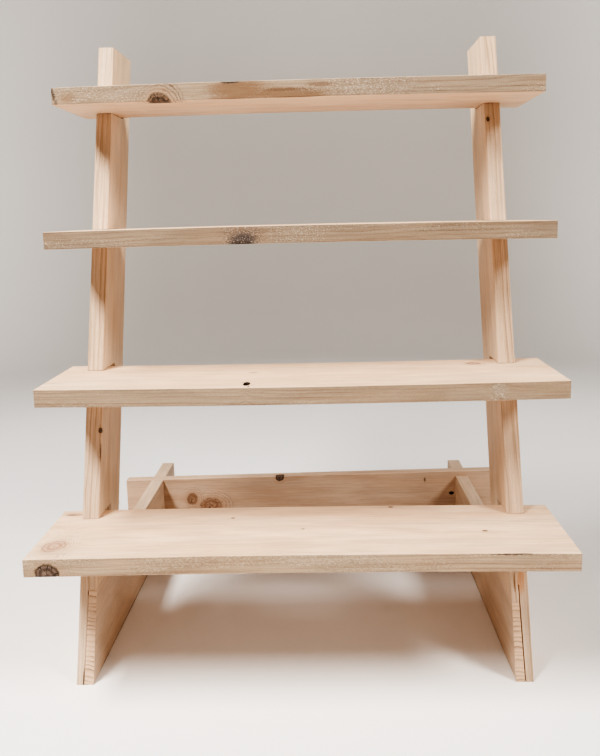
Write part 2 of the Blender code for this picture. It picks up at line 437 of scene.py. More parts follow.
def knot_fields(g, position, knot):
    """Distance from a knot's middle line in radii, and the offset from it."""
    axis = Vector(knot.axis).normalized()
    offset = g.vector("SUBTRACT", position, tuple(knot.at))
    along = g.vector("DOT_PRODUCT", offset, tuple(axis))
    drop = g.vector("SCALE", tuple(axis))
    g.tree.links.new(along, drop.node.inputs["Scale"])
    flat = g.vector("SUBTRACT", offset, drop)
    flat = g.vector("MULTIPLY", flat, (1.0 / knot.stretch, 1.0, 1.0))
    distance = g.math("DIVIDE", g.vector("LENGTH", flat), knot.radius)
    wobble = g.noise(position, (0.16, 0.22, 0.22), 2.0)
    wobble = g.math("MULTIPLY_ADD", wobble, 0.5, -0.25)
    past = g.step(g.math("ABSOLUTE", along), knot.reach, knot.reach * 1.2, 0.0, 4.0)
    return g.math("ADD", g.math("ADD", distance, wobble), past), flat


def flow_round(g, position, knot, value, axis):
    """Pushes the fibre position apart on both sides of a knot."""
    along = g.math("SUBTRACT", g.split(position)[0], knot.at[0])
    reach = 1.9 * knot.radius * knot.stretch
    along = g.math("DIVIDE", along, reach)
    fade = g.math("EXPONENT", g.times(g.times(along, along), -1.0))
    radius = g.times(fade, knot.radius * 1.2)
    side = g.math("SUBTRACT", value, knot.at[axis])
    squared = g.times(side, side)
    left = g.math("SUBTRACT", squared, g.times(radius, radius))
    pushed = g.math("SQRT", g.math("MAXIMUM", left, 0.0))
    signed = g.times(pushed, g.math("SIGN", side))
    return g.math("ADD", signed, knot.at[axis])


def growth_rings(g, look, moved, along, across, through):
    """How much late wood shows, from rings round a wandering middle line."""
    wander = look["wander"]
    drift = g.noise(moved, (0.0045, 0.0, 0.0), 1.0)
    sway = g.noise(moved, (0.0035, 0.011, 0.0), 1.0)
    ring_b = g.math("SUBTRACT", across, look["pith"][0])
    ring_b = g.math("ADD", ring_b, g.math("MULTIPLY_ADD", drift, wander * 2, -wander))
    ring_c = g.math("SUBTRACT", through, look["pith"][1])
    ring_c = g.math("ADD", ring_c, g.math("MULTIPLY_ADD", sway, wander, -wander / 2))
    radius = g.vector("LENGTH", g.join(0.0, ring_b, ring_c))
    radius = g.math("ADD", radius, g.times(along, look["taper"]))
    ripples = g.noise(moved, (0.018, 0.12, 0.12), 2.0)
    radius = g.math("ADD", radius, g.math("MULTIPLY_ADD", ripples, 2.4, -1.2))
    ring = g.math("DIVIDE", radius, look["spacing"])
    year = g.join(g.times(ring, 0.7), look["seed"] * 3.1, 0.0)
    uneven = g.noise(year, (1.0, 1.0, 1.0), 0.0)
    ring = g.math("ADD", ring, g.math("MULTIPLY_ADD", uneven, 1.4, -0.7))
    late = g.curve(g.math("FRACT", ring), LATEWOOD)
    fade = g.noise(moved, (0.007, 0.05, 0.05), 1.0)
    return g.times(late, g.step(fade, 0.30, 0.68, 0.35, 1.0))


# What a board's material is worked out from: places, kinds of face, late wood
# and the noises that its colour and its height share.
Fields = namedtuple(
    "Fields", "position moved sawn end late fibre hair dash patch fuzz pore torn saw"
)


def parted_fibres(g, look, position):
    """Places across and through the board, parted round the knots on each face."""
    _, across, through = g.split(position)
    for knot in look["knots"]:
        if knot.kind == "pin":
            continue
        if abs(knot.axis[2]) >= abs(knot.axis[1]):
            across = flow_round(g, position, knot, across, 1)
        else:
            through = flow_round(g, position, knot, through, 2)
    return across, through


def torn_share(g, look, moved, along):
    """Where a sawn face is torn: at random, and in the look's fuzzy stretches."""
    torn = g.noise(moved, (0.010, 0.06, 0.06), 2.0)
    torn = g.step(torn, look["torn"], look["torn"] + 0.12)
    for middle, reach in look["fuzzy"]:
        near = g.math("ABSOLUTE", g.math("SUBTRACT", along, middle))
        torn = g.math("MAXIMUM", torn, g.step(near, reach, reach * 0.5, 0.0, 1.5))
    return torn


def wood_fields(g, look):
    """The board's fields; noises are longest along the grain."""
    position = g.node("ShaderNodeAttribute", {}, attribute_name="grain").outputs["Vector"]
    seed = look["seed"]
    moved = g.vector("ADD", position, (seed * 731.0, seed * 47.0, seed * 83.0))
    along = g.split(position)[0]
    across, through = parted_fibres(g, look, position)
    tilt = g.math("MULTIPLY_ADD", through, 0.18, along)
    saw = g.math("SINE", g.times(tilt, 2.5))
    return Fields(
        position=position,
        moved=moved,
        sawn=g.node("ShaderNodeAttribute", {}, attribute_name="sawn_edge").outputs["Fac"],
        end=g.node("ShaderNodeAttribute", {}, attribute_name="end_grain").outputs["Fac"],
        late=growth_rings(g, look, moved, along, across, through),
        fibre=g.noise(moved, (0.022, 1.1, 1.1), 3.0, 0.6),
        hair=g.noise(moved, (0.10, 4.2, 4.2), 2.0, 0.6),
        dash=g.step(g.noise(moved, (0.11, 2.4, 2.4), 1.0), 0.66, 0.76),
        patch=g.noise(moved, (0.016, 0.07, 0.07), 2.0),
        fuzz=g.noise(moved, (0.50, 1.1, 1.1), 4.0, 0.75),
        pore=g.noise(moved, (0.5, 3.0, 3.0), 3.0, 0.7),
        torn=torn_share(g, look, moved, along),
        saw=g.times(saw, g.noise(moved, (0.05, 0.2, 0.2), 1.0)),
    )


def planed_colour(g, look, wood):
    """Clean wood: broad changes of tone, late wood, fibres and resin dashes."""
    broad = g.noise(wood.moved, (0.006, 0.035, 0.035), 2.0)
    colour = g.mix(g.step(broad, 0.35, 0.68), look["pale"], look["warm"])
    on_edges = look["edge_contrast"] - look["contrast"]
    contrast = g.math("MULTIPLY_ADD", wood.sawn, on_edges, look["contrast"])
    colour = g.mix(g.times(wood.late, contrast), colour, look["late"])
    tint = g.mix(g.step(wood.patch, 0.3, 0.7), (0.93, 0.93, 0.93), (1.05, 1.05, 1.05))
    colour = g.shaded(colour, tint)
    streak = g.mix(g.step(wood.fibre, 0.33, 0.67), (0.91, 0.885, 0.86), (1.05, 1.05, 1.05))
    colour = g.shaded(colour, streak)
    strand = g.mix(g.step(wood.hair, 0.3, 0.7), (0.95, 0.94, 0.93), (1.04, 1.04, 1.04))
    colour = g.shaded(colour, strand)
    return g.mix(g.times(wood.dash, 0.35), colour, RESIN)


def sawn_colour(g, look, wood, colour):
    """A sawn face: greyer, with dark lines, torn fibres and faint saw marks.

    Also returns how much pale torn fibre shows, since it breaks up the stains.
    """
    line = g.step(g.noise(wood.moved, (0.005, 1.3, 1.3), 2.0), 0.54, 0.66, 0.0, 0.55)
    grey = g.shaded(colour, look["sawn_tint"])
    grey = g.mix(line, grey, g.shaded(grey, (0.68, 0.60, 0.54)))
    pale_share = g.math("MULTIPLY_ADD", wood.torn, 0.40, 0.08)
    pale = g.times(g.step(wood.fuzz, 0.52, 0.66), pale_share)
    grey = g.mix(pale, grey, TORN_PALE)
    dark_share = g.math("MULTIPLY_ADD", wood.torn, 0.42, 0.10)
    dark = g.times(g.step(wood.fuzz, 0.47, 0.33), dark_share)
    grey = g.mix(dark, grey, TORN_DARK)
    marks = g.times(g.math("ABSOLUTE", wood.saw), 0.10)
    return g.mix(marks, grey, TORN_DARK), pale


def end_colour(g, wood):
    """End grain: darker, with crisp rings and a coarse open texture."""
    cross = g.mix(g.times(wood.late, 0.9), (0.74, 0.53, 0.36), (0.25, 0.13, 0.065))
    shade = g.mix(g.step(wood.pore, 0.3, 0.7), (0.80, 0.77, 0.74), (1.12, 1.12, 1.12))
    return g.shaded(cross, shade)


def stained(g, wood, colour, stain, bare):
    """Adds a stain with a ragged edge; bare is the share of it that is kept."""
    spot = g.vector("SUBTRACT", wood.position, tuple(stain.at))
    spot = g.vector("MULTIPLY", spot, tuple(1.0 / s for s in stain.size))
    reach = g.vector("LENGTH", spot)
    for noise, weight in ((wood.patch, 0.9), (wood.fibre, 0.5), (wood.fuzz, 1.1)):
        reach = g.math("ADD", reach, g.math("MULTIPLY_ADD", noise, weight, -weight / 2))
    amount = g.step(reach, 1.1, 0.45, 0.0, stain.strength)
    return g.mix(g.times(amount, bare), colour, stain.colour)


def knot_body(g, look, wood, knot, distance, flat):
    """The colour inside a knot: rings, pores, and cracks in the larger kinds."""
    tone = KNOT_LOOKS[knot.kind]
    density = 3.4 * max(knot.radius, 3.0) ** 0.5
    wave = g.math("MULTIPLY_ADD", distance, density, g.times(wood.fuzz, 2.2))
    rings = g.step(g.math("SINE", wave), -0.8, 0.9)
    body = g.mix(rings, tone.heart, tone.ring)
    body = g.mix(g.step(wood.pore, 0.35, 0.7, 0.0, 0.35), body, tone.bark)
    if knot.kind not in ("red", "black", "bark"):
        return body
    offsets = g.split(flat)
    second = offsets[1] if abs(knot.axis[2]) >= abs(knot.axis[1]) else offsets[2]
    angle = g.times(g.math("ARCTAN2", second, offsets[0]), 1.9)
    spread = g.join(angle, g.times(distance, 0.8), look["seed"])
    spoke = g.noise(spread, (1.0, 1.0, 1.0), 1.0)
    crack = g.math("ABSOLUTE", g.math("SUBTRACT", spoke, 0.5))
    crack = g.times(g.step(crack, 0.035, 0.012), g.step(distance, 0.05, 0.25))
    body = g.mix(g.times(crack, 0.85), body, tone.bark)
    dust = g.math("ABSOLUTE", g.math("SUBTRACT", spoke, 0.56))
    return g.mix(g.step(dust, 0.02, 0.005, 0.0, 0.4), body, SAWDUST)


def arcs_beyond(g, knot, distance, flat, strength):
    """Thin dark rings round a knot, stronger on the side away from the start."""
    bend = g.math("SINE", g.times(distance, 0.92 * max(knot.radius, 4.0)))
    bend = g.math("POWER", g.math("ABSOLUTE", bend), 8.0)
    bend = g.times(bend, g.step(distance, 2.7, 2.1, 0.0, strength))
    lopsided = g.step(g.split(flat)[0], -1.5 * knot.radius, knot.radius, 0.3, 1.0)
    return g.times(bend, lopsided)


def with_knot(g, look, wood, knot, colour, rims):
    """Adds one knot's colour, and the dent of its rim to those before it."""
    tone = KNOT_LOOKS[knot.kind]
    distance, flat = knot_fields(g, wood.position, knot)
    body = knot_body(g, look, wood, knot, distance, flat)
    if tone.rings:
        arcs = arcs_beyond(g, knot, distance, flat, tone.rings)
        colour = g.mix(arcs, colour, ARC_COLOUR)
    edge = g.math("SUBTRACT", distance, 1.0)
    edge = g.times(edge, edge)
    edge = g.math("EXPONENT", g.times(edge, -90.0))
    halo = g.times(g.step(distance, 2.1, 0.9), tone.halo)
    colour = g.mix(halo, colour, look["late"])
    colour = g.mix(g.step(distance, 1.06, 0.94), colour, body)
    colour = g.mix(g.times(edge, tone.rim), colour, tone.bark)
    return colour, g.math("MULTIPLY_ADD", edge, -0.12 * tone.rim, rims)


def wood_height(g, wood, rims):
    """Relief too fine for the mesh, in millimetres."""
    height = g.times(wood.late, 0.035)
    height = g.math("MULTIPLY_ADD", wood.fibre, 0.10, height)
    height = g.math("MULTIPLY_ADD", wood.hair, 0.05, height)
    height = g.math("MULTIPLY_ADD", wood.dash, -0.05, height)
    rough = g.times(wood.fuzz, wood.torn)
    tooth = g.math("MULTIPLY_ADD", rough, 0.55, g.times(wood.fuzz, 0.22))
    tooth = g.math("MULTIPLY_ADD", wood.saw, 0.05, tooth)
    height = g.math("MULTIPLY_ADD", tooth, wood.sawn, height)
    height = g.math("MULTIPLY_ADD", g.times(wood.pore, 0.35), wood.end, height)
    return g.math("ADD", height, rims)


def pine(name, look):
    """Bare softwood: growth rings, fibres, knots, sawn edges and end grain."""
    g = Graph(name)
    wood = wood_fields(g, look)
    colour = planed_colour(g, look, wood)
    grey, pale = sawn_colour(g, look, wood, colour)
    colour = g.mix(wood.sawn, colour, grey)
    colour = g.mix(wood.end, colour, end_colour(g, wood))

    lifted = g.math("MULTIPLY", g.times(pale, wood.sawn), 1.3, clamp=True)
    bare = g.math("SUBTRACT", 1.0, lifted)
    for stain in look["stains"]:
        colour = stained(g, wood, colour, stain, bare)
    rims = 0.0
    for knot in look["knots"]:
        if knot.kind != "whorl":
            colour, rims = with_knot(g, look, wood, knot, colour, rims)

    height = wood_height(g, wood, rims)
    bump = g.node("ShaderNodeBump", {"Height": height, "Strength": 0.9, "Distance": MM})
    roughness = g.step(wood.fibre, 0.3, 0.7, 0.50, 0.64)
    roughness = g.math("MULTIPLY_ADD", wood.sawn, 0.16, roughness)
    roughness = g.math("MULTIPLY_ADD", wood.end, 0.20, roughness, clamp=True)
    return g.surface(colour, roughness, bump, {"Specular IOR Level": 0.35})


# --- Each board's wood --------------------------------------------------------
PALE = (0.79, 0.605, 0.435)
WARM = (0.755, 0.545, 0.365)
LATE = (0.47, 0.285, 0.155)
SAWN_TINT = (0.50, 0.495, 0.475)
TORN_PALE = (0.80, 0.69, 0.56)
TORN_DARK = (0.20, 0.135, 0.09)
RESIN = (0.48, 0.27, 0.13)
INK = (0.07, 0.045, 0.03)
UMBER = (0.22, 0.125, 0.062)
SAWDUST = (0.36, 0.28, 0.22)
ARC_COLOUR = (0.17, 0.10, 0.055)


def wood_look(seed, pith, spacing, **extra):
    """One board's wood: where its pith lay, its ring width, and what differs.

    fuzzy holds the middle and reach of torn stretches of the narrow faces, and
    chips the middle, reach and depth of chips in the top front edge.
    """
    look = dict(seed=seed, pith=pith, spacing=spacing, taper=0.012, wander=6.0, shear=0.0)
    look.update(pale=PALE, warm=WARM, late=LATE, sawn_tint=SAWN_TINT)
    look.update(contrast=0.28, edge_contrast=0.6, torn=0.5)
    look.update(knots=(), stains=(), fuzzy=(), chips=())
    look.update(extra)
    return look


def tinted(colour, amount):
    return tuple(part * amount for part in colour)


SHELF_LOOKS = {
    "shelf_bottom": wood_look(
        1,
        (60.0, 75.0),
        3.7,
        torn=0.45,
        sawn_tint=tinted(SAWN_TINT, 1.22),
        chips=((452.0, 26.0, 0.9),),
        knots=(
            Knot((20.5, 34.0, 18.0), (0.2, 0.3, 0.95), 13.0, 0.8, "faint"),
            Knot((22.5, 0.0, 1.5), (0.0, 1.0, 0.0), 11.0, 1.0, "black", 14.0),
            Knot((190.4, 105.8, 18.0), (0.0, 0.1, 1.0), 1.6, 1.3, "pin"),
            Knot((265.7, 70.1, 18.0), (0.0, 0.1, 1.0), 1.3, 1.3, "pin"),
            Knot((359.7, 135.0, 18.0), (0.0, 0.1, 1.0), 2.2, 1.2, "pin"),
            Knot((448.6, 60.8, 18.0), (0.0, 0.1, 1.0), 2.2, 1.2, "pin"),
        ),
        stains=(
            Stain((455.0, 0.0, 18.0), (30.0, 2.2, 1.7), INK, 0.9),
            Stain((15.0, 126.0, 18.0), (13.0, 5.0, 4.0), (0.42, 0.27, 0.18), 0.75),
            Stain((12.0, 126.0, 18.0), (6.0, 1.8, 4.0), (0.20, 0.12, 0.075), 0.8),
        ),
    ),
    "shelf_lower_middle": wood_look(
        2,
        (78.0, -64.0),
        3.4,
        torn=0.56,
        fuzzy=((459.0, 11.0),),
        knots=(
            Knot((210.2, 20.0, 18.0), (0.0, 0.05, 1.0), 9.0, 0.36, "hole"),
            Knot((211.6, 84.0, 18.0), (0.0, 0.1, 1.0), 2.4, 1.6, "faint"),
            Knot((451.9, 113.6, 18.0), (0.1, 0.1, 1.0), 6.5, 1.1, "faint"),
            Knot((458.0, 0.0, 9.0), (0.0, 1.0, 0.0), 5.0, 1.8, "whorl", 6.0),
        ),
        stains=(
            Stain((523.0, 61.5, 18.0), (14.0, 9.0, 4.0), (0.72, 0.44, 0.33), 0.35),
            Stain((213.0, 6.0, 18.0), (0.9, 7.0, 2.0), INK, 0.8),
            Stain((206.5, 28.0, 18.0), (4.5, 1.6, 2.0), INK, 0.5),
            Stain((216.0, 14.0, 18.0), (4.0, 1.6, 2.0), INK, 0.5),
            Stain((10.0, 34.0, 18.0), (12.0, 1.6, 1.5), (0.50, 0.33, 0.22), 0.6),
            Stain((459.0, 0.0, 11.0), (9.0, 3.0, 6.5), (0.50, 0.40, 0.31), 0.3),
        ),
    ),
    "shelf_upper_middle": wood_look(
        3,
        (50.0, 60.0),
        3.3,
        torn=0.48,
        sawn_tint=tinted(SAWN_TINT, 0.86),
        fuzzy=((262.0, 36.0), (207.0, 26.0)),
        stains=(
            Stain((207.0, 0.0, 9.0), (28.0, 6.0, 15.0), (0.20, 0.125, 0.08), 0.6),
            Stain((207.0, 0.0, 3.0), (18.0, 5.0, 11.0), (0.075, 0.062, 0.06), 0.85),
            Stain((207.0, 0.0, 0.5), (14.0, 4.0, 3.5), INK, 0.8),
        ),
    ),
    "shelf_top": wood_look(
        4,
        (85.0, 58.0),
        3.6,
        torn=0.45,
        sawn_tint=tinted(SAWN_TINT, 0.94),
        fuzzy=((345.0, 60.0), (34.0, 22.0)),
        chips=((2.0, 4.0, 0.9), (193.0, 9.0, 0.8)),
        knots=(Knot((115.4, 0.0, -2.6), (0.0, 1.0, 0.0), 10.5, 1.1, "bark", 16.0),),
        stains=(
            Stain((18.2, 0.0, 6.5), (11.0, 3.0, 6.5), (0.27, 0.17, 0.095), 0.75),
            Stain((204.0, 0.0, 9.0), (40.0, 6.0, 18.0), UMBER, 0.85),
            Stain((193.0, 0.0, 17.5), (13.0, 2.4, 2.5), INK, 0.95),
            Stain((258.0, 0.0, 3.0), (52.0, 5.0, 8.0), UMBER, 0.8),
            Stain((252.0, 0.0, 8.3), (34.0, 5.0, 2.4), (0.17, 0.095, 0.05), 0.8),
            Stain((290.0, 0.0, 12.6), (20.0, 5.0, 2.6), (0.19, 0.11, 0.06), 0.7),
            Stain((0.5, 0.0, 15.0), (2.4, 5.0, 4.5), INK, 0.95),
            Stain((2.5, 0.0, 9.0), (2.2, 5.0, 5.5), INK, 0.9),
            Stain((4.5, 0.0, 2.5), (2.6, 5.0, 4.0), (0.16, 0.11, 0.08), 0.85),
        ),
    ),
}
UPRIGHT_TONES = dict(
    pale=(0.785, 0.605, 0.43),
    warm=(0.745, 0.55, 0.365),
    late=(0.43, 0.275, 0.15),
    sawn_tint=(0.86, 0.86, 0.885),
    torn=0.68,
    shear=SLOPE,
)
UPRIGHT_LOOKS = {
    "left": wood_look(
        5,
        (35.0, 42.0),
        3.4,
        edge_contrast=0.75,
        **UPRIGHT_TONES,
        knots=(Knot((266.0, 0.0, 17.0), (0.0, 1.0, -0.3), 2.1, 1.3, "black", 8.0),),
        stains=(
            Stain((241.0, 0.0, 17.6), (14.0, 3.0, 1.2), (0.14, 0.08, 0.045), 0.75),
            Stain((93.0, 0.0, 8.2), (2.6, 2.0, 1.4), INK, 0.8),
            Stain((6.0, 0.0, 7.4), (11.0, 3.0, 1.2), INK, 0.9),
        ),
    ),
    "right": wood_look(
        6,
        (30.0, 34.0),
        4.4,
        edge_contrast=0.7,
        **UPRIGHT_TONES,
        knots=(Knot((621.0, 0.0, 14.5), (0.0, 1.0, 0.1), 1.7, 1.6, "black", 6.0),),
        stains=(
            Stain((102.0, 0.0, 7.0), (15.0, 4.0, 4.0), (0.48, 0.24, 0.10), 0.7),
            Stain((98.0, 0.0, 13.5), (12.0, 4.0, 1.6), UMBER, 0.8),
        ),
    ),
}
RAIL_TONES = dict(
    pale=(0.70, 0.545, 0.41),
    warm=(0.665, 0.495, 0.35),
    late=(0.49, 0.30, 0.165),
    sawn_tint=(0.98, 0.97, 0.95),
    torn=0.6,
)
# Painted shade: a dark band along the lower edge of each rail's inner face, standing in for the
# contact shadow where the rail meets the floor.
RAIL_CONTACT_SHADE = (Stain((215.0, 0.0, 18.0), (230.0, 2.2, 3.0), (0.16, 0.10, 0.06), 0.8),)
RAIL_LOOKS = {
    "left": wood_look(7, (-45.0, 3.0), 4.6, wander=4.0, stains=RAIL_CONTACT_SHADE, **RAIL_TONES),
    "right": wood_look(8, (-40.0, 16.0), 4.6, wander=4.0, stains=RAIL_CONTACT_SHADE, **RAIL_TONES),
}
CROSS_TONES = dict(
    pale=(0.53, 0.39, 0.28),
    warm=(0.50, 0.35, 0.24),
    late=(0.36, 0.22, 0.13),
    sawn_tint=(1.45, 1.50, 1.55),
    torn=0.6,
    contrast=0.16,
)
CROSS_LOOK = wood_look(
    9,
    (30.0, -40.0),
    4.6,
    **CROSS_TONES,
    knots=(
        Knot((98.0, 57.0, 0.0), (0.1, 0.1, 1.0), 8.5, 0.9, "red"),
        Knot((126.0, 47.0, 0.0), (-0.1, 0.1, 1.0), 10.0, 1.5, "red"),
        Knot((230.5, 86.8, 0.0), (0.0, 0.1, 1.0), 4.6, 1.25, "black", 9.0),
        Knot((485.7, 55.5, 0.0), (0.0, 0.1, 1.0), 2.2, 1.4, "hole"),
    ),
    stains=(Stain((446.0, 77.0, 0.0), (2.0, 4.5, 1.5), INK, 0.7),),
)
SPLINTER_LOOK = wood_look(10, (5.0, 5.0), 2.6)

# How far each shelf's middle bows up, in millimetres.
BOW = {
    "shelf_bottom": 1.3,
    "shelf_lower_middle": -1.0,
    "shelf_upper_middle": 1.0,
    "shelf_top": 1.1,
}


# --- Placing the boards -------------------------------------------------------
HELD_AT = 0.227  # from a shelf's middle to where an upright holds it, unbowed
LAP_FADE = 0.020  # the lap's slant dies out over this length past its end
LEAN_FADE = 0.100  # the rail's lean dies out over this length behind the upright
SLOT_END_REACH = 0.012  # how near a slot's end the mesh is made square to it


def finish_piece(obj, body, node):
    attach(obj, body)
    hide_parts(node)


def shelf_piece(name, body):
    low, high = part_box(name)
    size = tuple(high - low)
    middle = (low.x + high.x) / 2

    def place(a, b, c):
        x = low.x + a
        lift = BOW[name] * MM * (1.0 - ((x - middle) / HELD_AT) ** 2)
        return x, low.y + b, low.z + c + lift

    obj = make_board(f"{name}_board", size, place, SHELF_LOOKS[name])
    finish_piece(obj, body, name)


def lap_warp(c, slant_length, lap_end, a, parting):
    """Slants the lap's parting plane, as the saw wandered.

    slant_length is the height up the lap at each point; the slant dies out
    past lap_end, measured along a.
    """
    drift = BOARD * (LAP_SHARE_AT_TOP - LAP_SHARE_AT_FLOOR) / RAIL_HEIGHT
    near = np.clip(np.minimum(c / parting, (BOARD - c) / (BOARD - parting)), 0.0, 1.0)
    in_lap = 1.0 - smooth_step(lap_end, lap_end + LAP_FADE, a)
    return c + drift * (slant_length * in_lap) * near


def upright_piece(side):
    name = f"upright_{side}"
    low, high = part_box(name)
    sign = SIDES[side]
    outer = low.x if sign < 0 else high.x
    height = high.z - low.z
    size = (height, UPRIGHT_RUN, BOARD)
    parting = BOARD * LAP_SHARE_AT_FLOOR
    tops = [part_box(shelf)[1].z for shelf in SHELF_BODIES]
    cuts = [((z - BOARD - GAP, -FAR, -FAR), (z + GAP, SLOT_DEPTH, FAR)) for z in tops]
    cuts.append(((-FAR, -FAR, parting), (TONGUE_HEIGHT[side] + GAP, FAR, FAR)))
    if LAP_GAP[side] > GAP:
        kerf_low = (TONGUE_HEIGHT[side], -FAR, parting)
        cuts.append((kerf_low, (RAIL_HEIGHT, FAR, parting + LAP_GAP[side])))

    def place(a, b, c):
        c = lap_warp(c, a, RAIL_HEIGHT, a, parting)
        y = low.y + b + SLOPE * a
        near = np.clip(1.0 - np.abs(b - SLOT_DEPTH) / SLOT_END_REACH, 0.0, 1.0)
        for z in tops:
            level = (a > z - BOARD - 3 * GAP) & (a < z + 3 * GAP)
            y = y + SLOPE * (z - a) * near * level
        return outer - sign * c, y, low.z + a

    obj = make_board(f"{name}_board", size, place, UPRIGHT_LOOKS[side], cuts, 0.5)
    finish_piece(obj, "stand", name)


def base_rail_piece(side):
    name = f"base_rail_{side}"
    low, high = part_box(name)
    cross_low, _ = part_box("rear_cross_rail")
    sign = SIDES[side]
    outer = low.x if sign < 0 else high.x
    foot_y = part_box(f"upright_{side}")[0].y
    size = (high.y - foot_y, RAIL_HEIGHT, BOARD)
    behind = UPRIGHT_RUN + GAP
    parting = BOARD * LAP_SHARE_AT_FLOOR + LAP_GAP[side]
    cross_at = cross_low.y - foot_y
    cuts = [
        ((-FAR, -FAR, -FAR), (behind, FAR, parting)),
        ((-FAR, TONGUE_HEIGHT[side], -FAR), (behind, FAR, FAR)),
        ((cross_at - GAP, LAP_FLOOR_Z, -FAR), (cross_at + BOARD + GAP, FAR, FAR)),
    ]

    def place(a, b, c):
        lean = 1.0 - smooth_step(behind, behind + LEAN_FADE, a)
        c = lap_warp(c, b, behind, a, parting)
        return outer - sign * c, foot_y + a + SLOPE * b * lean, b

    obj = make_board(f"{name}_board", size, place, RAIL_LOOKS[side], cuts, 0.6)
    finish_piece(obj, "stand", name)


def cross_rail_piece():
    name = "rear_cross_rail"
    low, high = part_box(name)
    length = high.x - low.x
    rise = (high.z - low.z) - BOARD_WIDTH  # its right end stands higher
    size = (length, BOARD_WIDTH, BOARD)
    cuts = []
    for side in SIDES:
        rail_low, rail_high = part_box(f"base_rail_{side}")
        x = (rail_low.x + rail_high.x) / 2
        depth = LAP_FLOOR_Z + GAP - low.z - rise * (x - low.x) / length
        notch_low = (rail_low.x - GAP - low.x, -FAR, -FAR)
        cuts.append((notch_low, (rail_high.x + GAP - low.x, depth, FAR)))

    def place(a, b, c):
        return low.x + a, low.y + c, low.z + b + rise * a / length

    obj = make_board(f"{name}_board", size, place, CROSS_LOOK, cuts, 0.8)
    finish_piece(obj, "cross_rail", name)


# --- Splinters ----------------------------------------------------------------
SPLINTER_RINGS = 14
SPLINTER_SIDES = 6


def splinter(name, body, path, width, look):
    """A torn fibre that stands off a board: path(t) is its line for t from 0 to 1."""
    points, faces = [], []
    for ring in range(SPLINTER_RINGS):
        t = ring / (SPLINTER_RINGS - 1)
        here, ahead = Vector(path(t)), Vector(path(t + 0.01))
        forward = (ahead - here).normalized()
        side = forward.cross(Vector((0.0, 0.3, 1.0))).normalized()
        over = forward.cross(side)
        half = width / 2 * (1.0 - 0.85 * t)
        for n in range(SPLINTER_SIDES):
            turn = 2 * math.pi * n / SPLINTER_SIDES
            across = side * half * math.cos(turn)
            points.append(here + across + over * half * 0.35 * math.sin(turn))
    for ring in range(SPLINTER_RINGS - 1):
        for n in range(SPLINTER_SIDES):
            base, following = ring * SPLINTER_SIDES, (n + 1) % SPLINTER_SIDES
            above = base + SPLINTER_SIDES
            faces.append((base + n, base + following, above + following, above + n))
    faces.append(tuple(reversed(range(SPLINTER_SIDES))))
    faces.append(tuple(range(len(points) - SPLINTER_SIDES, len(points))))
    mesh = bpy.data.meshes.new(name)
    mesh.from_pydata(points, [], faces)
    mesh.polygons.foreach_set("use_smooth", [True] * len(faces))
    mesh.set_sharp_from_angle(angle=SHARP_ANGLE)
    grain = mesh.attributes.new("grain", "FLOAT_VECTOR", "POINT")
    grain.data.foreach_set("vector", [part / MM for point in points for part in point])
    mesh.materials.append(pine(f"{name}_pine", look))
    obj = add_object(name, mesh)
    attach(obj, body)


def shelf_splinter():
    """A curl of torn fibre low on the left end of a shelf's front edge."""
    low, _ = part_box("shelf_upper_middle")

    def path(t):
        turn = 2.6 * t
        return (
            low.x + (2.2 + 4.2 * t + 1.2 * math.sin(turn)) * MM,
            low.y + (0.3 - 1.8 * math.sin(turn)) * MM,
            low.z + (6.5 - 5.5 * t) * MM,
        )

    splinter("shelf_upper_middle_splinter", "upper_middle_shelf", path, 1.5 * MM, SPLINTER_LOOK)


def upright_splinter():
    """A sliver split off the back edge of the left upright."""
    low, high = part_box("upright_left")
    top = 0.155  # where it still holds to the board

    def path(t):
        z = top - 0.013 * t
        back = low.y + SLOPE * z + UPRIGHT_RUN
        return (high.x - (1.5 - 2.6 * t) * MM, back - (0.8 - 2.4 * t * t) * MM, z)

    splinter("upright_left_splinter", "stand", path, 1.7 * MM, SPLINTER_LOOK)


# --- Brads --------------------------------------------------------------------
def steel(name):
    """Bright wire steel with drawn scratches and a little rust."""
    g = Graph(name)
    position = g.node("ShaderNodeNewGeometry", {}).outputs["Position"]
    scratch = g.noise(position, (400.0, 5200.0, 5200.0), 3.0, 0.7)
    rust = g.step(g.noise(position, (900.0, 900.0, 900.0), 2.0), 0.52, 0.66)
    colour = g.mix(scratch, (0.34, 0.33, 0.32), (0.52, 0.51, 0.49))
    colour = g.mix(g.times(rust, 0.6), colour, (0.21, 0.10, 0.05))
    roughness = g.math("MULTIPLY_ADD", rust, 0.35, 0.32)
    bump = g.node("ShaderNodeBump", {"Height": scratch, "Strength": 0.3, "Distance": 0.0001})
    metallic = g.math("MULTIPLY_ADD", rust, -0.7, 1.0)
    return g.surface(colour, roughness, bump, {"Metallic": metallic})


def paint_brads():
    metal = steel("brad_wire_steel")
    for name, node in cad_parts.items():
        if name.startswith("lap_brad"):
            node.data.materials.clear()
            node.data.materials.append(metal)


# --- Studio -------------------------------------------------------------------
SWEEP_RADIUS = 2.5
SWEEP_CURVE = 0.6
SWEEP_HEIGHT = 2.6
SWEEP_SIDES = 128
SWEEP_STEPS = 12  # rings on the flat, and again on the curve


